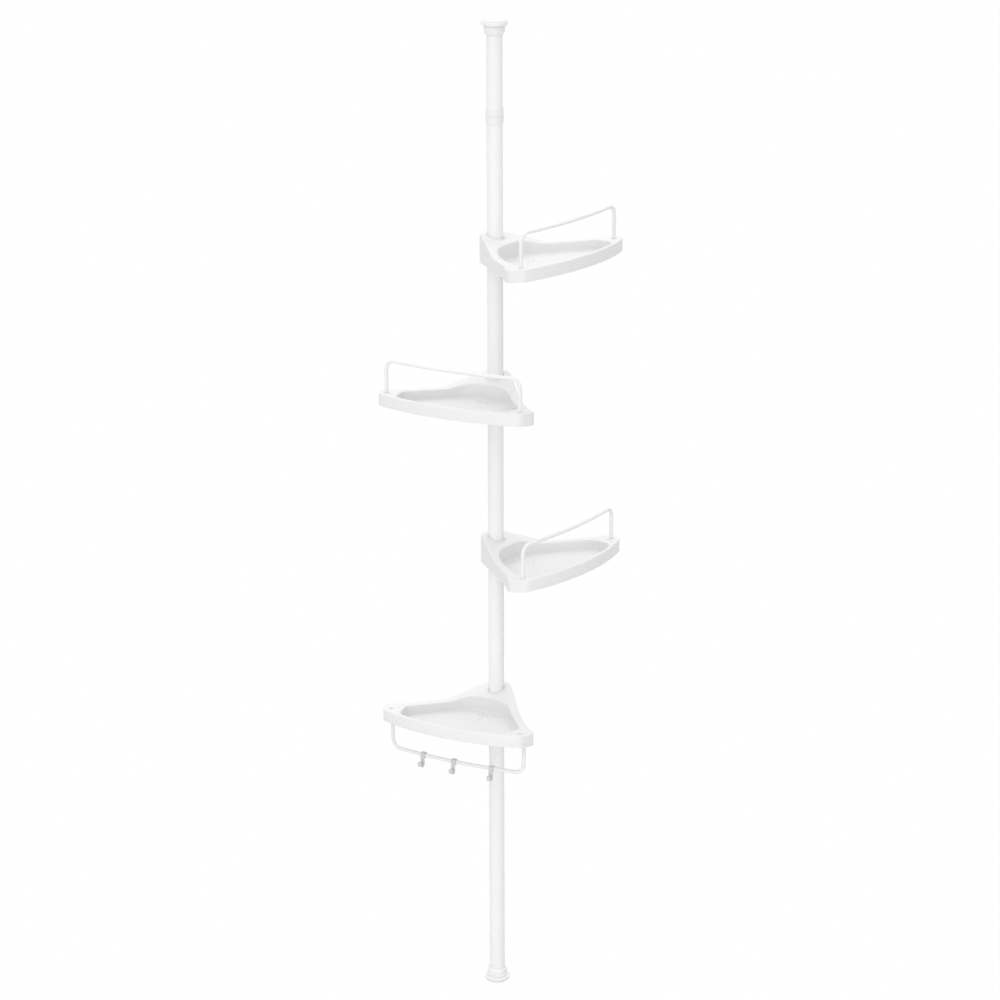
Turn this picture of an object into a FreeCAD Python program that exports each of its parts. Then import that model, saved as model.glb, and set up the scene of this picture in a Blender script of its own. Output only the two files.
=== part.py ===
import FreeCAD, Part
import math
import os

# Tension pole corner shelf unit: a sprung telescopic pole that stands between floor and ceiling,
# four triangular moulded trays that slide and swivel on it, three guard rails, a towel rail and
# three clip-on hooks. Millimetres. The origin is at the pole's axis on the floor, +Z goes up the
# pole, and -Y faces the room. Shelves are numbered from the bottom.

Vector = FreeCAD.Vector
UP = Vector(0, 0, 1)
ORIGIN = Vector(0, 0, 0)

# --- pole ---------------------------------------------------------------------------------------
total_height = 1614.3
tube_d = 25.0
tube_wall = 0.9
tube_bore_d = tube_d - 2 * tube_wall
seam_heights = (516.0, 834.7, 1143.8)      # where one tube section ends and the next begins
lock_base_z = 1455.4                       # bottom of the locking collar
lock_seam_z = 1467.3                       # parting line between its two rings
lock_top_z = 1479.2
lock_parting = 0.15                       # gap between the rings, and the bevel of their rims
lock_edge = 0.4
lock_ring_d = 27.4
tube_joint_half = 38.0                     # how far a joint sleeve reaches into each tube
tube_joint_wall = 1.6
tube_end_bevel = 0.4                       # outer edge of each cut end of the tubes

# --- end mouldings: the foot and the ceiling cap have one shape ----------------------------------
pad_d = 38.0
pad_t = 2.4
pad_stand_proud = 1.0
flange_d = 41.4
flange_h = 6.2
flange_edge_r = 1.2
neck_gap = 1.4
neck_d = 32.2
cone_wide_d = 33.6
cone_narrow_d = 31.2
cone_h = 9.9
mouth_chamfer_h = 3.0
mouth_d = 27.6
socket_d = tube_d + 0.6
cap_roof_t = 3.0
foot_socket_depth = 15.5

# --- twist lock and spring ------------------------------------------------------------------------
slider_d = 22.0
slider_bottom_z = 1236.0
slider_top_z = 1518.0
slider_bore_d = slider_d - 2 * tube_wall
bush_bottom_z = 1486.0
cam_offset = 1.2
cam_stub_d = 13.0
cam_stub_h = 18.0
cam_flange_h = 4.0
cam_plug_h = 22.0
cam_end_d = 17.0
cam_end_h = 3.0
shoe_d = 22.4
shoe_side_play = 1.6                       # room for the eccentric stub to swing in the shoe
shoe_end_play = 0.4
shoe_slot_w = 3.0
height_travel = 180.0
cap_travel = 12.0
spring_seat_t = 8.0
spring_d = 18.6
spring_wire_d = 1.8
spring_turns = 9
stem_d = 9.0
stem_play = 0.3
stem_tail = 14.0                           # stem below the seat: one cap travel and a margin
clip_d = 15.0
clip_t = 2.0

# --- shelves --------------------------------------------------------------------------------------
shelf_heights = (518.5, 778.7, 1047.3, 1273.3)   # top of each tray beside its rail sockets
shelf_angles = (-27.5, 52.0, -27.4, 51.2)        # turn about the pole, degrees
rim_slope = math.tan(math.radians(6.0))    # the tray falls towards the pole, so water runs to its drains
skirt_h = 20.0
basin_depth = 17.0
wall_t = 2.2
hub_r = 24.0
side_slope_deg = 52.9                      # direction of the straight sides in the plan
front_radius = 312.0
front_y = -181.0
flare_y = -104.0                           # where a side leaves its straight line for the broad tip
flare_r = 30.0
tip_back = (135.0, -128.5)                 # corners of the blunt tip, before they are rounded
tip_back_r = 14.0
tip_front_x = 124.0
tip_front_r = 15.0
basin_front_w = 6.6                        # widths of the flat rim round the basin
basin_side_w = 13.5
basin_back_y = -28.0
basin_back_r = 42.0
basin_tip = (99.0, -130.0)                 # a point on the basin's end wall and the wall's direction
basin_tip_deg = 78.0
basin_tip_back_r = 10.0
basin_tip_front_r = 27.0
basin_floor_r = 3.0
basin_lip_r = 2.4
rim_edge_r = 1.6
hub_top_z = 8.0
ramp_start_y = -50.0
ramp_end_y = 8.0
ramp_blend = 16.0                          # length of the arc that eases the rim into the ramp
crest_blend = 9.0                          # and of the one that eases the ramp into the hub's top
hub_bore_r = 13.0
hub_lip_h = 6.0
grip_seat_r = 16.6                         # conical seat in the hub for the grip sleeve
grip_taper = 0.9
drain_d = 3.6
drain_pitch = 8.0
drain_back_y = -39.0
drain_row_gap = 9.0
drain_row_counts = (4, 3)
drain_far = (6.0, -70.0)

# --- grip sleeves -----------------------------------------------------------------------------------
grip_clear = 0.3
grip_wall_bottom_r = grip_seat_r - grip_clear
grip_bore_r = tube_d / 2 + 0.05
grip_flange_r = 18.0
grip_flange_h = 3.0
grip_slit_w = 2.2

# --- rails and hooks --------------------------------------------------------------------------------
rod_d = 6.0
rail_leg_x = 116.0
rail_leg_y = -143.0
rail_leg_h = 64.5                          # from a leg's end to the centre line of the bar
rail_bar_radius = 700.0
rail_bend_r = 15.0
guard_bar_z = 53.0
towel_bar_z = -70.0
towel_leg_x = 118.2                        # the towel rail's own sockets lie behind the guard rail's
towel_leg_y = -134.5
socket_r = rod_d / 2
socket_mouth_r = 4.6                       # countersink that guides a leg into its socket
socket_cone_h = 2.2
socket_boss_r = 6.8
socket_spare = 0.5                         # depth of a socket beyond the end of its leg
hook_places = (-57.5, -1.0, 64.5)         # distance of each hook along the bar from its middle
hook_w = 6.6
hook_t = 1.8
hook_clip_play = 0.3
hook_drop = 13.4                           # from the rod's centre to the centre of the hook's bend
hook_bend_r = 3.9
hook_tip_h = 4.5


def cylinder(radius, bottom, top, x=0.0, y=0.0):
    return Part.makeCylinder(radius, top - bottom, Vector(x, y, bottom), UP)


def tube(outer_r, inner_r, bottom, top):
    return cylinder(outer_r, bottom, top).cut(cylinder(inner_r, bottom, top))


def tube_section(bottom, top):
    """Length of the pole's tube with both cut ends lightly bevelled outside."""
    outer = tube_d / 2
    inner = tube_bore_d / 2
    return turned([
        (inner, bottom),
        (outer - tube_end_bevel, bottom),
        (outer, bottom + tube_end_bevel),
        (outer, top - tube_end_bevel),
        (outer - tube_end_bevel, top),
        (inner, top),
    ])


def lock_ring(bottom, top):
    """Ring of the twist lock, pressed round the tube, with both rims bevelled."""
    outer = lock_ring_d / 2
    return turned([
        (tube_d / 2, bottom),
        (outer - lock_edge, bottom),
        (outer, bottom + lock_edge),
        (outer, top - lock_edge),
        (outer - lock_edge, top),
        (tube_d / 2, top),
    ])


def turned(profile):
    """Solid of revolution about the pole's axis, from (radius, height) points."""
    points = [Vector(radius, 0, height) for radius, height in profile]
    face = Part.Face(Part.makePolygon(points + [points[0]]))
    return face.revolve(ORIGIN, UP, 360)


def block(x_size, y_size, z_size, corner):
    return Part.makeBox(x_size, y_size, z_size, Vector(*corner))


def export(shape, name):
    if shape.ShapeType == "Compound" and len(shape.Solids) == 1:
        shape = shape.Solids[0]
    if not shape.isValid() or len(shape.Solids) == 0:
        raise ValueError(name + " is not a valid solid")
    shape.exportStep(os.path.join("parts", name + ".step"))
    print(name, round(shape.Volume), len(shape.Solids))


# --- end mouldings ------------------------------------------------------------------------------------
def end_moulding(socket_depth):
    """Foot moulding, standing on its flange at height 0 with the tube socket on top."""
    base = pad_stand_proud
    flange_top = base + flange_h
    cone_base = flange_top + neck_gap
    cone_top = cone_base + cone_h
    mouth_z = cone_top + mouth_chamfer_h
    outer = turned([
        (0, base),
        (flange_d / 2 - flange_edge_r, base),
        (flange_d / 2, base + flange_edge_r),
        (flange_d / 2, flange_top - flange_edge_r),
        (flange_d / 2 - flange_edge_r, flange_top),
        (neck_d / 2, flange_top),
        (neck_d / 2, cone_base),
        (cone_wide_d / 2, cone_base),
        (cone_narrow_d / 2, cone_top),
        (mouth_d / 2, mouth_z),
        (0, mouth_z),
    ])
    socket = cylinder(socket_d / 2, mouth_z - socket_depth, mouth_z + 1)
    pad_recess = cylinder(pad_d / 2, 0, pad_t)
    return outer.cut(socket).cut(pad_recess), mouth_z


def turn_over(shape, height):
    """Stands a foot moulding on its head, with its face at the given height."""
    flipped = shape.copy()
    flipped.rotate(ORIGIN, Vector(1, 0, 0), 180)
    flipped.translate(Vector(0, 0, height))
    return flipped


# --- rails ----------------------------------------------------------------------------------------------
def rail_end_angle(leg_x):
    """Half the angle that the bar's curve covers, with the bends turning tangent to it."""
    angle = math.asin(leg_x / rail_bar_radius)
    for _ in range(20):
        angle = math.asin((leg_x - rail_bend_r * math.cos(angle)) / rail_bar_radius)
    return angle


def rail_centre_y(leg_x):
    angle = rail_end_angle(leg_x)
    return rail_leg_y - rail_bend_r * math.sin(angle) + rail_bar_radius * math.cos(angle)


def bent_rail(leg_x):
    """U-shaped rod standing on its legs at height 0, with its bar bowed to the front."""
    angle = rail_end_angle(leg_x)
    centre_y = rail_centre_y(leg_x)
    bend_z = rail_leg_h - rail_bend_r
    half = math.sqrt(0.5)

    def bend(side):
        foot = Vector(side * leg_x, rail_leg_y, bend_z)
        inward = Vector(-side * math.cos(angle), -math.sin(angle), 0)
        middle = foot + inward * (rail_bend_r * (1 - half)) + UP * (rail_bend_r * half)
        head = foot + inward * rail_bend_r + UP * rail_bend_r
        return foot, middle, head

    left_foot, left_middle, left_head = bend(-1)
    right_foot, right_middle, right_head = bend(1)
    left_end = Vector(left_foot.x, left_foot.y, 0)
    right_end = Vector(right_foot.x, right_foot.y, 0)
    bar_middle = Vector(0, centre_y - rail_bar_radius, rail_leg_h)
    path = Part.Wire([
        Part.LineSegment(left_end, left_foot).toShape(),
        Part.Arc(left_foot, left_middle, left_head).toShape(),
        Part.Arc(left_head, bar_middle, right_head).toShape(),
        Part.Arc(right_head, right_middle, right_foot).toShape(),
        Part.LineSegment(right_foot, right_end).toShape(),
    ])
    section = Part.Wire(Part.Circle(left_end, UP, rod_d / 2).toShape())
    return path.makePipeShell([section], True, False)


def hook():
    """Clip-on hook, hung on a rod that runs along X at height 0, with its mouth towards -Y."""
    clip_in = rod_d / 2 + hook_clip_play
    clip_out = clip_in + hook_t
    width_from = Vector(-hook_w / 2, 0, 0)
    along = Vector(1, 0, 0)
    clip = Part.makeCylinder(clip_out, hook_w, width_from, along)
    clip = clip.cut(Part.makeCylinder(clip_in, hook_w, width_from, along))
    mouth_side = clip_out + 1
    # the clip's mouth opens down and back, so it snaps over the rod from above
    reach = clip_out + 1
    mouth_face = Part.Face(Part.makePolygon([
        Vector(-hook_w / 2, 0, 0),
        Vector(-hook_w / 2, reach, -0.45 * reach),
        Vector(-hook_w / 2, reach, -reach),
        Vector(-hook_w / 2, 0.25 * reach, -reach),
        Vector(-hook_w / 2, 0, 0),
    ]))
    clip = clip.cut(mouth_face.extrude(Vector(hook_w, 0, 0)))
    lip_mid = clip_in + hook_t / 2
    lip_at = Vector(-hook_w / 2, lip_mid * 0.93, -lip_mid * 0.37)
    lip = Part.makeCylinder(hook_t / 2, hook_w, lip_at, along)
    strap = block(hook_w, hook_t, hook_drop, (-hook_w / 2, -clip_out, -hook_drop))
    bend_centre = Vector(-hook_w / 2, -clip_out + hook_t - hook_bend_r - hook_t / 2, -hook_drop)
    bend_out = hook_bend_r + hook_t / 2
    bend_in = hook_bend_r - hook_t / 2
    bend = Part.makeCylinder(bend_out, hook_w, bend_centre, along)
    bend = bend.cut(Part.makeCylinder(bend_in, hook_w, bend_centre, along))
    upper_half = block(hook_w, 2 * bend_out + 2, bend_out + 1,
                       (-hook_w / 2, bend_centre.y - bend_out - 1, -hook_drop))
    bend = bend.cut(upper_half)
    tip = block(hook_w, hook_t, hook_tip_h, (-hook_w / 2, bend_centre.y - bend_out, -hook_drop))
    return clip.fuse([lip, strap, bend, tip]).removeSplitter()


# --- tray -------------------------------------------------------------------------------------------------
def rim_z(y):
    """Height of the tray's rim above the shelf height, at a distance in front of the pole."""
    return -rim_slope * (y - rail_leg_y)


def direction(degrees):
    return Vector(math.cos(math.radians(degrees)), math.sin(math.radians(degrees)), 0)


def side_start(inset):
    """Point on the right side's line where it leaves the hub's circle."""
    return direction(90 - side_slope_deg) * (hub_r - inset)


def along_side(inset, y):
    """Point on the right side's line, moved inwards by the inset, at the given y."""
    start = side_start(inset)
    run = direction(-side_slope_deg)
    return start + run * ((y - start.y) / run.y)


def on_front(radius, x):
    """Point on a front arc, concentric with the tray's front, at the given x."""
    return Vector(x, front_y + front_radius - math.sqrt(radius * radius - x * x), 0)


def line_cross(point_a, dir_a, point_b, dir_b):
    """Where two lines in the plan meet."""
    determinant = dir_a.x * dir_b.y - dir_a.y * dir_b.x
    offset = point_b - point_a
    step = (offset.x * dir_b.y - offset.y * dir_b.x) / determinant
    return point_a + dir_a * step


def mirrored(point):
    return Vector(-point.x, point.y, 0)


def plan_face(right_points, bow, back_middle, roundings):
    """Flat plan, mirrored about the tray's centre line. right_points run from the front arc to the
    back on the right side, bow is the middle of the front arc, back_middle the middle of a round
    back or None for a straight one, and roundings pairs corner numbers with radii."""
    first = right_points[0]
    last = right_points[-1]
    edges = [Part.Arc(mirrored(first), bow, first).toShape()]
    for start, end in zip(right_points, right_points[1:]):
        edges.append(Part.LineSegment(start, end).toShape())
        edges.append(Part.LineSegment(mirrored(end), mirrored(start)).toShape())
    if back_middle is None:
        edges.append(Part.LineSegment(last, mirrored(last)).toShape())
    else:
        edges.append(Part.Arc(last, back_middle, mirrored(last)).toShape())
    face = Part.Face(Part.Wire(Part.sortEdges(edges)[0]))
    prism = face.extrude(Vector(0, 0, -10))
    for number, radius in roundings:
        corner = right_points[number]
        uprights = []
        for edge in prism.Edges:
            start = edge.Vertexes[0].Point
            end = edge.Vertexes[-1].Point
            upright = abs(start.x - end.x) + abs(start.y - end.y) < 0.001
            if upright and math.hypot(abs(start.x) - corner.x, start.y - corner.y) < 0.01:
                uprights.append(edge)
        prism = prism.makeFillet(radius, uprights)
    tops = [f for f in prism.Faces if f.BoundBox.ZMin > -0.001]
    return tops[0]


def outside_plan():
    right = [
        on_front(front_radius, tip_front_x),
        Vector(tip_back[0], tip_back[1], 0),
        along_side(0, flare_y),
        side_start(0),
    ]
    roundings = [(0, tip_front_r), (1, tip_back_r), (2, flare_r)]
    return plan_face(right, Vector(0, front_y, 0), Vector(0, hub_r, 0), roundings)


def basin_plan():
    front_arc = front_radius - basin_front_w
    tip_point = Vector(basin_tip[0], basin_tip[1], 0)
    tip_dir = direction(basin_tip_deg)
    front_x = tip_point.x
    for _ in range(20):
        front_y_here = on_front(front_arc, front_x).y
        front_x = tip_point.x + (front_y_here - tip_point.y) * tip_dir.x / tip_dir.y
    side = side_start(basin_side_w)
    right = [
        on_front(front_arc, front_x),
        line_cross(tip_point, tip_dir, side, direction(-side_slope_deg)),
        along_side(basin_side_w, basin_back_y),
    ]
    roundings = [(0, basin_tip_front_r), (1, basin_tip_back_r), (2, basin_back_r)]
    return plan_face(right, Vector(0, front_y + basin_front_w, 0), None, roundings)


def upright_prism(face):
    prism = face.extrude(Vector(0, 0, 120))
    prism.translate(Vector(0, 0, -60))
    return prism


def eased_corner(before, corner, after):
    """Arc tangent to both lines of a corner, between points at one distance from the corner."""
    reach = (before - corner).Length
    chord_mid = (before + after) * 0.5
    half_chord = (after - before).Length / 2
    height = (corner - chord_mid).Length
    rise = half_chord * (reach - half_chord) / height
    middle = chord_mid + (corner - chord_mid) * (rise / height)
    return Part.Arc(before, middle, after).toShape()


def side_profile(drop_top, depth, with_ramp):
    """Slab across the tray, seen from the side: its top follows the rim, and the ramp up to the
    hub where asked, and its bottom lies at the given depth below the rim."""
    y_front = -220.0
    y_back = 60.0
    top_front = Vector(0, y_front, rim_z(y_front) - drop_top)
    edges = []
    if with_ramp:
        foot = Vector(0, ramp_start_y, rim_z(ramp_start_y) - drop_top)
        crest = Vector(0, ramp_end_y, hub_top_z - drop_top)
        end = Vector(0, y_back, crest.z)
        along_ramp = (crest - foot).normalize()
        along_rim = (foot - top_front).normalize()
        foot_from = foot - along_rim * ramp_blend / 2
        foot_to = foot + along_ramp * ramp_blend / 2
        crest_from = crest - along_ramp * crest_blend / 2
        crest_to = crest + Vector(0, crest_blend / 2, 0)
        edges.append(Part.LineSegment(top_front, foot_from).toShape())
        edges.append(eased_corner(foot_from, foot, foot_to))
        edges.append(Part.LineSegment(foot_to, crest_from).toShape())
        edges.append(eased_corner(crest_from, crest, crest_to))
        edges.append(Part.LineSegment(crest_to, end).toShape())
    else:
        end = Vector(0, y_back, rim_z(y_back) - drop_top)
        edges.append(Part.LineSegment(top_front, end).toShape())
    bottom_back = Vector(0, y_back, rim_z(y_back) - depth)
    bottom_front = Vector(0, y_front, rim_z(y_front) - depth)
    edges.append(Part.LineSegment(end, bottom_back).toShape())
    edges.append(Part.LineSegment(bottom_back, bottom_front).toShape())
    edges.append(Part.LineSegment(bottom_front, top_front).toShape())
    face = Part.Face(Part.Wire(Part.sortEdges(edges)[0]))
    slab = face.extrude(Vector(320, 0, 0))
    slab.translate(Vector(-160, 0, 0))
    return slab


def basin_tool():
    """The hollow of the tray: everything inside the basin's wall above its floor."""
    tool = upright_prism(basin_plan()).common(side_profile(-60.0, basin_depth, False)).Solids[0]
    floor_edges = []
    for edge in tool.Edges:
        heights = [v.Z - (rim_z(v.Y) - basin_depth) for v in edge.Vertexes]
        if max(abs(h) for h in heights) < 0.01:
            floor_edges.append(edge)
    return tool.makeFillet(basin_floor_r, floor_edges)


def underside_tool():
    """The hollow under the rim, between the skirt and the basin's outside."""
    inside_skirt = upright_prism(outside_plan().makeOffset2D(-wall_t))
    basin_outside = upright_prism(basin_plan().makeOffset2D(wall_t))
    hollow = inside_skirt.common(side_profile(wall_t + 0.6, skirt_h + 1, False))
    hollow = hollow.cut(basin_outside).cut(cylinder(hub_r + 0.5, -60, 60))
    for side in (-1, 1):
        for leg_x, leg_y in ((rail_leg_x, rail_leg_y), (towel_leg_x, towel_leg_y)):
            hollow = hollow.cut(cylinder(socket_boss_r, -60, 60, side * leg_x, leg_y))
    return hollow


def socket_tools():
    """Blind sockets: the guard rail's from above and, just behind them, the towel rail's from below."""
    tools = []
    guard_end = guard_bar_z - rail_leg_h - socket_spare
    towel_end = towel_bar_z + rail_leg_h + socket_spare
    for side in (-1, 1):
        guard_x = side * rail_leg_x
        top = rim_z(rail_leg_y) + 0.5
        tools.append(cylinder(socket_r, guard_end, 60, guard_x, rail_leg_y))
        tools.append(Part.makeCone(socket_mouth_r, socket_r, socket_cone_h,
                                   Vector(guard_x, rail_leg_y, top), Vector(0, 0, -1)))
        towel_x = side * towel_leg_x
        bottom = rim_z(towel_leg_y) - skirt_h - 0.5
        tools.append(cylinder(socket_r, -60, towel_end, towel_x, towel_leg_y))
        tools.append(Part.makeCone(socket_r + 0.8, socket_r, 0.8,
                                   Vector(towel_x, towel_leg_y, bottom), UP))
    return tools


def drain_holes():
    """Rows of small round drains at the low back of the floor, and one further forward."""
    holes = [cylinder(drain_d / 2, -60, 0, drain_far[0], drain_far[1])]
    for row, count in enumerate(drain_row_counts):
        y = drain_back_y - row * drain_row_gap
        for index in range(count):
            x = (index - (count - 1) / 2) * drain_pitch
            holes.append(cylinder(drain_d / 2, -60, 0, x, y))
    return holes


def grip_bottom_z():
    return rim_z(hub_r) - skirt_h


def grip_seat(radius_grow):
    """Cone of the hub's seat, wide at the bottom, or of the sleeve that fits in it."""
    bottom = grip_bottom_z()
    top = hub_top_z - hub_lip_h
    profile = [
        (0, bottom - 10),
        (grip_seat_r + radius_grow, bottom - 10),
        (grip_seat_r + radius_grow, bottom),
        (grip_seat_r - grip_taper + radius_grow, top),
        (0, top),
    ]
    return turned(profile)


def top_edges(shell, plan, reach):
    """Edges of the rim's top that run within a short reach of the outline of a plan."""
    outline = Part.Wire(plan.OuterWire.Edges)
    chosen = []
    for edge in shell.Edges:
        points = edge.discretize(5)
        if any(p.z < rim_z(p.y) - 0.05 for p in points):
            continue
        flat = [Part.Vertex(Vector(p.x, p.y, 0)) for p in points]
        if all(outline.distToShape(v)[0] < reach for v in flat):
            chosen.append(edge)
    return chosen


def tray():
    shell = upright_prism(outside_plan()).common(side_profile(0, skirt_h, True)).Solids[0]
    shell = shell.makeFillet(rim_edge_r, top_edges(shell, outside_plan(), 0.01))
    shell = shell.cut(basin_tool()).Solids[0]
    shell = shell.makeFillet(basin_lip_r, top_edges(shell, basin_plan(), 0.01))
    shell = shell.cut(underside_tool())
    shell = shell.cut(cylinder(hub_bore_r, -60, 60)).cut(grip_seat(0))
    # the hub's foot is faced off level, where it stands on the grip sleeve's flange
    shell = shell.cut(cylinder(grip_flange_r + 1.5, -60, grip_bottom_z() + 3))
    for tool in socket_tools() + drain_holes():
        shell = shell.cut(tool)
    return shell


def grip_sleeve():
    """Split sleeve that is clipped round the pole. The tray's hub drops over it and wedges."""
    seat_z = grip_bottom_z() + 3
    top = hub_top_z - hub_lip_h - 0.5
    profile = [
        (grip_bore_r, seat_z - grip_flange_h),
        (grip_flange_r, seat_z - grip_flange_h),
        (grip_flange_r, seat_z),
        (grip_wall_bottom_r, seat_z),
        (grip_wall_bottom_r - grip_taper, top),
        (grip_bore_r, top),
    ]
    slit = block(grip_flange_r + 2, grip_slit_w, 120, (0, -grip_slit_w / 2, -60))
    slit.rotate(ORIGIN, UP, 90)
    return turned(profile).cut(slit)


def on_shelf(shape, index):
    placed = shape.copy()
    placed.rotate(ORIGIN, UP, shelf_angles[index])
    placed.translate(Vector(0, 0, shelf_heights[index]))
    return placed


# --- build ------------------------------------------------------------------------------------------------
os.makedirs("parts", exist_ok=True)
tube_r = tube_d / 2
tube_bore_r = tube_bore_d / 2
slider_r = slider_d / 2

# floor end
foot, foot_mouth_z = end_moulding(foot_socket_depth)
pad = cylinder(pad_d / 2, 0, pad_t)
export(pad, "foot_pad")
export(foot, "floor_foot")

# the four fixed tube sections and the sleeves that join them
section_ends = (foot_mouth_z - foot_socket_depth,) + seam_heights + (lock_seam_z - lock_parting,)
for number in range(4):
    section = tube_section(section_ends[number], section_ends[number + 1])
    export(section, "pole_tube_%d" % (number + 1))
for number, seam in enumerate(seam_heights):
    sleeve = tube(tube_bore_r, tube_bore_r - tube_joint_wall, seam - tube_joint_half, seam + tube_joint_half)
    export(sleeve, "tube_joint_%d" % (number + 1))
export(lock_ring(lock_base_z, lock_seam_z - lock_parting), "lock_ring_lower")

# twist lock: an eccentric stub under the sliding tube swings a shoe against the fixed tube
shoe_top = slider_bottom_z - cam_flange_h - shoe_end_play
shoe_bottom = slider_bottom_z - cam_flange_h - cam_stub_h + shoe_end_play
shoe = cylinder(shoe_d / 2, shoe_bottom, shoe_top)
shoe = shoe.cut(cylinder(cam_stub_d / 2 + shoe_side_play, shoe_bottom, shoe_top, cam_offset, 0))
shoe_slot = block(shoe_d, shoe_slot_w, cam_stub_h, (0, -shoe_slot_w / 2, shoe_bottom))
export(shoe.cut(shoe_slot), "lock_shoe")
core_base = slider_bottom_z - cam_flange_h
core = cylinder(slider_r, core_base, slider_bottom_z)
core = core.fuse([
    cylinder(slider_bore_d / 2, slider_bottom_z, slider_bottom_z + cam_plug_h),
    cylinder(cam_stub_d / 2, core_base - cam_stub_h, core_base, cam_offset, 0),
    cylinder(cam_end_d / 2, core_base - cam_stub_h - cam_end_h, core_base - cam_stub_h, cam_offset, 0),
]).removeSplitter()
export(core, "lock_cam")
export(tube(slider_r, slider_bore_d / 2, slider_bottom_z, slider_top_z), "slider_tube")
export(tube(tube_bore_r, slider_r, bush_bottom_z, slider_top_z), "slider_bush")
export(lock_ring(lock_seam_z, lock_top_z), "lock_ring_upper")

# ceiling end: a sprung cap on a stem that runs in the top tube
cap_moulding, cap_depth = end_moulding(foot_mouth_z - pad_stand_proud - cap_roof_t)
cap_roof_z = total_height - pad_stand_proud - cap_roof_t
top_tube_end = cap_roof_z - cap_travel - 1
export(tube_section(lock_seam_z, top_tube_end), "top_tube")
seat_top = slider_top_z + spring_seat_t
seat = tube(tube_bore_r, stem_d / 2 + stem_play, slider_top_z, seat_top)
export(seat, "spring_seat")
stem_bottom = slider_top_z - stem_tail
stem = cylinder(stem_d / 2, stem_bottom, cap_roof_z)
clip_base = slider_top_z - clip_t - 0.3
clip_groove = tube(stem_d / 2 + 1, stem_d / 2 - 1, clip_base, clip_base + clip_t)
export(stem.cut(clip_groove), "cap_stem")
clip = tube(clip_d / 2, stem_d / 2 - 1, clip_base, clip_base + clip_t)
clip_gap = block(clip_d, 3.0, clip_t, (0, -1.5, clip_base))
export(clip.cut(clip_gap), "stem_clip")
spring_coil_r = (spring_d - spring_wire_d) / 2
spring_bottom = seat_top + spring_wire_d / 2
spring_height = cap_roof_z - seat_top - spring_wire_d
helix = Part.makeHelix(spring_height / spring_turns, spring_height, spring_coil_r)
wire_ring = Part.Circle(Vector(spring_coil_r, 0, 0), Vector(0, 1, 0), spring_wire_d / 2)
wire_section = Part.Wire(wire_ring.toShape())
coil = helix.makePipeShell([wire_section], True, True)
coil.translate(Vector(0, 0, spring_bottom))
export(coil, "tension_spring")
export(turn_over(cap_moulding, total_height), "ceiling_cap")
export(turn_over(pad, total_height), "ceiling_pad")

# trays, each on its own grip sleeve
tray_shape = tray()
sleeve_shape = grip_sleeve()
guard_shape = bent_rail(rail_leg_x)
for index in range(4):
    export(on_shelf(sleeve_shape, index), "grip_sleeve_%d" % (index + 1))
    export(on_shelf(tray_shape, index), "shelf_tray_%d" % (index + 1))

# guard rails stand in the sockets of the three upper trays
for index in (1, 2, 3):
    guard = guard_shape.copy()
    guard.translate(Vector(0, 0, guard_bar_z - rail_leg_h))
    export(on_shelf(guard, index), "guard_rail_%d" % (index + 1))

# the towel rail is bent from the same rod, turned over and pushed into the bottom tray from below
towel_back = towel_leg_y - rail_leg_y
towel = bent_rail(towel_leg_x).mirror(ORIGIN, UP)
towel.translate(Vector(0, towel_back, towel_bar_z + rail_leg_h))
export(on_shelf(towel, 0), "towel_rail")
hook_shape = hook()
for number, place in enumerate(hook_places):
    hung = hook_shape.copy()
    hung.translate(Vector(0, -rail_bar_radius, 0))
    hung.rotate(ORIGIN, UP, math.degrees(place / rail_bar_radius))
    hung.translate(Vector(0, rail_centre_y(towel_leg_x) + towel_back, towel_bar_z))
    export(on_shelf(hung, 0), "towel_hook_%d" % (number + 1))
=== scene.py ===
import math
import bmesh
import bpy
from mathutils import Matrix, Vector


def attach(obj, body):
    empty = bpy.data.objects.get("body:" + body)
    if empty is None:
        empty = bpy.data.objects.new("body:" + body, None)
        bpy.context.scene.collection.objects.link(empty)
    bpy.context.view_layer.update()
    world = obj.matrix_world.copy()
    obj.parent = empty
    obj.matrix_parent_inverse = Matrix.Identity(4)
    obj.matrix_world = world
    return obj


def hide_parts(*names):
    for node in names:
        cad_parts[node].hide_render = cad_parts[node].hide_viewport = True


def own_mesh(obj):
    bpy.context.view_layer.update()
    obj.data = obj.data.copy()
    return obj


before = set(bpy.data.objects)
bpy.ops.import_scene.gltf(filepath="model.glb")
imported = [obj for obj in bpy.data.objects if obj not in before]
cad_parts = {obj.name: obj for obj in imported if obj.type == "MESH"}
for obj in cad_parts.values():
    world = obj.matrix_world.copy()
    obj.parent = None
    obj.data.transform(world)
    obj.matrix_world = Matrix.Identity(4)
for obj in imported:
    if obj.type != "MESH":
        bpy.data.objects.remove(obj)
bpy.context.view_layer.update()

# Tension pole shelf unit: a white telescopic pole between floor and ceiling, with four triangular
# trays, three guard rails, a towel rail and three hooks. Metres, Z up, the pole on the Z axis.


# --- Foot, ceiling cap and their pads --------------------------------------------------------------
# The foot and the ceiling cap are one smooth injection moulding in white plastic, used twice, each
# with a soft rubber disc let into its end. The helpers that every later piece uses start here.

def grey(level):
    return (level, level, level)


def finish_named(name, base, roughness):
    """A material with the plain Principled shader, and that shader."""
    material = bpy.data.materials.new(name)
    material.use_nodes = True
    shader = material.node_tree.nodes["Principled BSDF"]
    shader.inputs["Base Color"].default_value = (*base, 1.0)
    shader.inputs["Roughness"].default_value = roughness
    return material, shader


same_corner = 0.000002      # corners of neighbouring facets that lie this close are one corner
crease_degrees = 32.0       # facets that meet at a sharper turn keep a crisp edge


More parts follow.
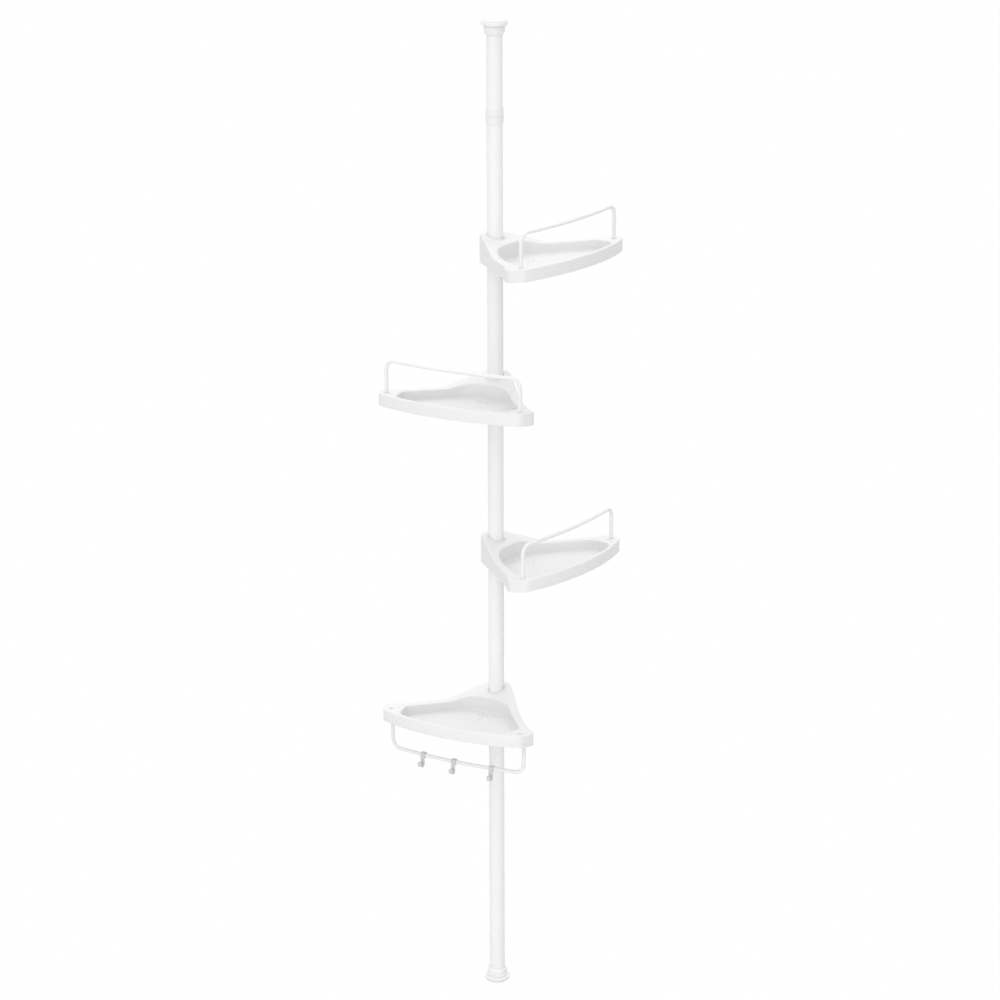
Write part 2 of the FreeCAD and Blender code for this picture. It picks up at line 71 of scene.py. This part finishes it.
def smooth_faces(node):
    """Flat facets of a machined solid shade as one surface, and its creases stay sharp."""
    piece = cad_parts[node]
    for polygon in piece.data.polygons:
        polygon.use_smooth = True
    weld = piece.modifiers.new("weld", "WELD")
    weld.merge_threshold = same_corner
    split = piece.modifiers.new("crease", "EDGE_SPLIT")
    split.split_angle = math.radians(crease_degrees)
    return piece


def paint(nodes, material):
    """Gives these CAD pieces one material, in every slot that they have."""
    for node in nodes:
        piece = smooth_faces(node)
        for place in range(len(piece.data.materials)):
            piece.data.materials[place] = material
        if not piece.data.materials:
            piece.data.materials.append(material)


def maths(tree, operation, *values):
    """A Math node. Each value is a number or the output that feeds it."""
    node = tree.nodes.new("ShaderNodeMath")
    node.operation = operation
    for socket, value in zip(node.inputs, values):
        if isinstance(value, float):
            socket.default_value = value
        else:
            tree.links.new(value, socket)
    return node.outputs[0]


def surface_texture_group():
    """Fine skin of a moulding or a coat: small even grain over a slow unevenness."""
    group = bpy.data.node_groups.new("surface texture", "ShaderNodeTree")
    for name in ("Grain Scale", "Grain Depth", "Roughness Low", "Roughness High"):
        group.interface.new_socket(name, in_out="INPUT", socket_type="NodeSocketFloat")
    for name in ("Dark", "Light"):
        group.interface.new_socket(name, in_out="INPUT", socket_type="NodeSocketColor")
    group.interface.new_socket("Color", in_out="OUTPUT", socket_type="NodeSocketColor")
    group.interface.new_socket("Roughness", in_out="OUTPUT", socket_type="NodeSocketFloat")
    group.interface.new_socket("Normal", in_out="OUTPUT", socket_type="NodeSocketVector")
    nodes, links = group.nodes, group.links
    source = nodes.new("NodeGroupInput")
    result = nodes.new("NodeGroupOutput")
    place = nodes.new("ShaderNodeTexCoord")

    grain = nodes.new("ShaderNodeTexNoise")
    grain.inputs["Detail"].default_value = 3.0
    grain.inputs["Roughness"].default_value = 0.6
    links.new(place.outputs["Object"], grain.inputs["Vector"])
    links.new(source.outputs["Grain Scale"], grain.inputs["Scale"])

    slow = nodes.new("ShaderNodeTexNoise")
    slow.inputs["Scale"].default_value = 26.0
    slow.inputs["Detail"].default_value = 4.0
    links.new(place.outputs["Object"], slow.inputs["Vector"])

    tone = nodes.new("ShaderNodeMix")
    tone.data_type = "RGBA"
    factor, dark, light = tone.inputs[0], tone.inputs[6], tone.inputs[7]
    links.new(slow.outputs["Fac"], factor)
    links.new(source.outputs["Dark"], dark)
    links.new(source.outputs["Light"], light)
    links.new(tone.outputs[2], result.inputs["Color"])

    both = maths(group, "ADD", grain.outputs["Fac"], slow.outputs["Fac"])
    gloss = nodes.new("ShaderNodeMapRange")
    gloss.inputs["From Min"].default_value = 0.3
    gloss.inputs["From Max"].default_value = 0.7
    links.new(maths(group, "MULTIPLY", both, 0.5), gloss.inputs["Value"])
    links.new(source.outputs["Roughness Low"], gloss.inputs["To Min"])
    links.new(source.outputs["Roughness High"], gloss.inputs["To Max"])
    links.new(gloss.outputs["Result"], result.inputs["Roughness"])

    bump = nodes.new("ShaderNodeBump")
    bump.inputs["Strength"].default_value = 1.0
    bump.inputs["Distance"].default_value = 0.001
    height = maths(group, "MULTIPLY", grain.outputs["Fac"], source.outputs["Grain Depth"])
    links.new(height, bump.inputs["Height"])
    links.new(bump.outputs["Normal"], result.inputs["Normal"])
    return group


surface_texture = surface_texture_group()


def textured(name, dark, light, roughness, grain_scale, grain_depth, specular=0.5):
    """A material whose colour, gloss and skin come from the surface texture."""
    material, shader = finish_named(name, light, roughness[1])
    shader.inputs["Specular IOR Level"].default_value = specular
    tree = material.node_tree
    skin = tree.nodes.new("ShaderNodeGroup")
    skin.node_tree = surface_texture
    skin.inputs["Grain Scale"].default_value = grain_scale
    skin.inputs["Grain Depth"].default_value = grain_depth
    skin.inputs["Roughness Low"].default_value = roughness[0]
    skin.inputs["Roughness High"].default_value = roughness[1]
    skin.inputs["Dark"].default_value = (*dark, 1.0)
    skin.inputs["Light"].default_value = (*light, 1.0)
    tree.links.new(skin.outputs["Color"], shader.inputs["Base Color"])
    tree.links.new(skin.outputs["Roughness"], shader.inputs["Roughness"])
    tree.links.new(skin.outputs["Normal"], shader.inputs["Normal"])
    return material


end_plastic = textured("end plastic", grey(0.83), grey(0.85), roughness=(0.26, 0.36),
                       grain_scale=900.0, grain_depth=0.012)
pad_rubber = textured("pad rubber", grey(0.76), grey(0.80), roughness=(0.65, 0.85),
                      grain_scale=600.0, grain_depth=0.08, specular=0.3)
paint(["floor_foot", "ceiling_cap"], end_plastic)
paint(["foot_pad", "ceiling_pad"], pad_rubber)

# --- Pole tubes ------------------------------------------------------------------------------------
# Thin-walled welded steel tube, powder coated white after cutting. The coat has a faint orange
# peel. The sections butt on inner sleeves, and the upper tube is the same stock.

tube_coat = textured("tube coat", grey(0.87), grey(0.88), roughness=(0.3, 0.38),
                     grain_scale=420.0, grain_depth=0.003, specular=0.12)
paint(["pole_tube_1", "pole_tube_2", "pole_tube_3", "pole_tube_4", "top_tube"], tube_coat)

# --- Sliding tube, inner sleeves and the cap's stem ------------------------------------------------
# Bare drawn steel. The sliding tube shows only when the pole is drawn out, and the fine marks of
# the drawing run along it.

marks_stretch = (1200.0, 1200.0, 12.0)
marks_roughness = (0.22, 0.46)
drawn_steel, steel_shader = finish_named("drawn steel", grey(0.56), 0.35)
steel_shader.inputs["Metallic"].default_value = 1.0
steel_tree = drawn_steel.node_tree
steel_place = steel_tree.nodes.new("ShaderNodeTexCoord")
steel_stretch = steel_tree.nodes.new("ShaderNodeMapping")
steel_stretch.inputs["Scale"].default_value = marks_stretch
steel_marks = steel_tree.nodes.new("ShaderNodeTexNoise")
steel_marks.inputs["Scale"].default_value = 1.0
steel_marks.inputs["Detail"].default_value = 4.0
steel_gloss = steel_tree.nodes.new("ShaderNodeMapRange")
steel_gloss.inputs["To Min"].default_value = marks_roughness[0]
steel_gloss.inputs["To Max"].default_value = marks_roughness[1]
steel_tree.links.new(steel_place.outputs["Object"], steel_stretch.inputs["Vector"])
steel_tree.links.new(steel_stretch.outputs["Vector"], steel_marks.inputs["Vector"])
steel_tree.links.new(steel_marks.outputs["Fac"], steel_gloss.inputs["Value"])
steel_tree.links.new(steel_gloss.outputs["Result"], steel_shader.inputs["Roughness"])
paint(["slider_tube", "tube_joint_1", "tube_joint_2", "tube_joint_3"], drawn_steel)
paint(["cap_stem", "stem_clip"], drawn_steel)

# --- Cap spring ------------------------------------------------------------------------------------
# A coil of hard-drawn steel wire round the stem, from the seat on the sliding tube to the roof of
# the ceiling cap. It is a merged copy of the CAD coil, and it moves with the cap as one solid.

cap_spring = bpy.data.objects.new("cap_spring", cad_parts["tension_spring"].data.copy())
bpy.context.scene.collection.objects.link(cap_spring)
wire = bmesh.new()
wire.from_mesh(cap_spring.data)
bmesh.ops.remove_doubles(wire, verts=wire.verts, dist=same_corner)
wire.to_mesh(cap_spring.data)
wire.free()
for polygon in cap_spring.data.polygons:
    polygon.use_smooth = True
cap_spring.data.materials.clear()
cap_spring.data.materials.append(drawn_steel)
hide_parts("tension_spring")
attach(cap_spring, "cap")
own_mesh(cap_spring)

# --- Twist lock ------------------------------------------------------------------------------------
# Two smooth plastic rings hide the ends of the tubes. The shoe, the eccentric stub, the bush and
# the spring's seat are plain nylon mouldings inside the tube.

ring_plastic = textured("ring plastic", grey(0.82), grey(0.84), roughness=(0.28, 0.38),
                        grain_scale=900.0, grain_depth=0.012)
inner_nylon = textured("inner nylon", (0.34, 0.34, 0.35), (0.42, 0.42, 0.43),
                       roughness=(0.45, 0.6), grain_scale=700.0, grain_depth=0.05)
paint(["lock_ring_lower", "lock_ring_upper"], ring_plastic)
paint(["lock_shoe", "lock_cam", "slider_bush", "spring_seat"], inner_nylon)

# --- Grip sleeves and trays ------------------------------------------------------------------------
# Injection mouldings in white plastic with a satin, finely eroded skin. Each tray's hub wedges on
# a split sleeve of the same plastic that is clipped round the pole.

tray_plastic = textured("tray plastic", grey(0.78), grey(0.80), roughness=(0.34, 0.46),
                        grain_scale=1100.0, grain_depth=0.02)
for shelf in (1, 2, 3, 4):
    paint([f"shelf_tray_{shelf}", f"grip_sleeve_{shelf}"], tray_plastic)

# --- Rails -----------------------------------------------------------------------------------------
# Steel rod bent to a bowed U and coated white. Three stand in the upper trays as guard rails, and
# one is pushed up into the bottom tray as a towel rail.

rod_coat = textured("rod coat", grey(0.82), grey(0.84), roughness=(0.3, 0.38),
                    grain_scale=500.0, grain_depth=0.004, specular=0.15)
paint(["guard_rail_2", "guard_rail_3", "guard_rail_4", "towel_rail"], rod_coat)

# --- Hooks -----------------------------------------------------------------------------------------
# Small grey plastic mouldings, each a C-shaped clip with a strap and an upturned tip.

hook_plastic = textured("hook plastic", grey(0.58), grey(0.64), roughness=(0.3, 0.42),
                        grain_scale=900.0, grain_depth=0.03)
paint(["towel_hook_1", "towel_hook_2", "towel_hook_3"], hook_plastic)

# --- Room: floor, light and camera -----------------------------------------------------------------
# A plain white floor in an evenly lit white room. The light is strongest from above and from the
# front, the side walls are darker, and a tall soft box stands in front.

floor_size = 80.0
floor_drop = 0.0004         # keeps the floor clear of the pad's own face
floor_white_share = 0.985   # how much of the seen floor is plain white, the rest takes the shadow
bpy.ops.mesh.primitive_plane_add(size=floor_size, location=(0.0, 0.0, -floor_drop))
floor = bpy.context.object
floor.name = "floor"
floor_white, floor_shader = finish_named("floor white", grey(0.64), 0.9)
floor_shader.inputs["Specular IOR Level"].default_value = 0.0
floor_tree = floor_white.node_tree
floor_ray = floor_tree.nodes.new("ShaderNodeLightPath")
floor_glow = floor_tree.nodes.new("ShaderNodeEmission")
floor_glow.inputs["Strength"].default_value = 1.0
floor_mix = floor_tree.nodes.new("ShaderNodeMixShader")
seen_or_mirrored = maths(floor_tree, "MAXIMUM", floor_ray.outputs["Is Camera Ray"],
                         floor_ray.outputs["Is Glossy Ray"])
floor_share = maths(floor_tree, "MULTIPLY", seen_or_mirrored, floor_white_share)
floor_tree.links.new(floor_share, floor_mix.inputs[0])
floor_tree.links.new(floor_shader.outputs[0], floor_mix.inputs[1])
floor_tree.links.new(floor_glow.outputs[0], floor_mix.inputs[2])
floor_tree.links.new(floor_mix.outputs[0],
                     floor_tree.nodes["Material Output"].inputs["Surface"])
floor.data.materials.append(floor_white)

# Each row: the direction that a wide glow comes from, how narrow it is, and how much it adds to
# the room's even level. A negative row is a darker wall.
room_level = 0.78
room_glows = [
    ((0.0, 0.0, 1.0), 2.0, 0.47),
    ((0.0, 0.0, 1.0), 8.0, 0.76),
    ((0.0, 0.7, 0.7), 4.0, 0.70),
    ((-0.5, -0.6, 0.6), 4.0, 0.56),
    ((0.6, -0.5, 0.6), 4.0, 0.16),
    ((0.6, 0.5, 0.6), 4.0, 0.40),
    ((0.0, -1.0, 0.05), 6.0, 0.86),
    ((0.0, 1.0, 0.05), 6.0, 0.40),
    ((-1.0, 0.0, 0.05), 6.0, -0.2),
    ((1.0, 0.0, 0.05), 6.0, -0.84),
]
world = bpy.data.worlds.new("studio")
world.use_nodes = True
bpy.context.scene.world = world
sky_tree = world.node_tree
sky_tree.nodes.clear()
sky_place = sky_tree.nodes.new("ShaderNodeTexCoord")
sky_level = sky_tree.nodes.new("ShaderNodeValue")
sky_level.outputs[0].default_value = room_level
sky_sum = sky_level.outputs[0]
for direction, tightness, strength in room_glows:
    toward = sky_tree.nodes.new("ShaderNodeVectorMath")
    toward.operation = "DOT_PRODUCT"
    toward.inputs[1].default_value = Vector(direction).normalized()
    sky_tree.links.new(sky_place.outputs["Generated"], toward.inputs[0])
    facing = maths(sky_tree, "MAXIMUM", toward.outputs["Value"], 0.0)
    narrowed = maths(sky_tree, "POWER", facing, tightness)
    sky_sum = maths(sky_tree, "MULTIPLY_ADD", narrowed, strength, sky_sum)
sky_fill = sky_tree.nodes.new("ShaderNodeBackground")
sky_fill.inputs["Color"].default_value = (*grey(0.8), 1.0)
sky_tree.links.new(sky_sum, sky_fill.inputs["Strength"])
sky_white = sky_tree.nodes.new("ShaderNodeBackground")
sky_white.inputs["Color"].default_value = (*grey(1.0), 1.0)
sky_white.inputs["Strength"].default_value = 1.0
sky_ray = sky_tree.nodes.new("ShaderNodeLightPath")
sky_seen = maths(sky_tree, "MAXIMUM", sky_ray.outputs["Is Camera Ray"],
                 sky_ray.outputs["Is Transmission Ray"])
sky_seen_or_mirrored = maths(sky_tree, "MAXIMUM", sky_seen, sky_ray.outputs["Is Glossy Ray"])
sky_mix = sky_tree.nodes.new("ShaderNodeMixShader")
sky_out = sky_tree.nodes.new("ShaderNodeOutputWorld")
sky_tree.links.new(sky_seen_or_mirrored, sky_mix.inputs[0])
sky_tree.links.new(sky_fill.outputs[0], sky_mix.inputs[1])
sky_tree.links.new(sky_white.outputs[0], sky_mix.inputs[2])
sky_tree.links.new(sky_mix.outputs[0], sky_out.inputs["Surface"])

box_place = Vector((-0.2, -1.8, 0.7))
box_aim = Vector((0.0, 0.0, 0.7))
box_light = bpy.data.lights.new("front box", "AREA")
box_light.shape = "RECTANGLE"
box_light.size = 0.8
box_light.size_y = 1.4
box_light.energy = 3.9
front_box = bpy.data.objects.new("front box", box_light)
front_box.location = box_place
front_box.rotation_mode = "QUATERNION"
front_box.rotation_quaternion = (box_place - box_aim).to_track_quat("Z", "Y")
front_box.visible_camera = False
bpy.context.scene.collection.objects.link(front_box)

view_height = 2.5065
view_distance = 4.8677
view_tilt = 0.32884         # radians below the level
view_pan = -0.00136
view_roll = -0.0027
camera_data = bpy.data.cameras.new("camera")
camera_data.lens = 116.28
camera_data.sensor_width = 36.0
camera = bpy.data.objects.new("camera", camera_data)
stand = Matrix.Translation((0.0, -view_distance, view_height))
pan = Matrix.Rotation(view_pan, 4, "Z")
tilt = Matrix.Rotation(math.radians(90.0) - view_tilt, 4, "X")
roll = Matrix.Rotation(view_roll, 4, "Z")
camera.matrix_world = stand @ (pan @ tilt) @ roll
bpy.context.scene.collection.objects.link(camera)
bpy.context.scene.camera = camera
bpy.context.scene.view_settings.view_transform = "Standard"
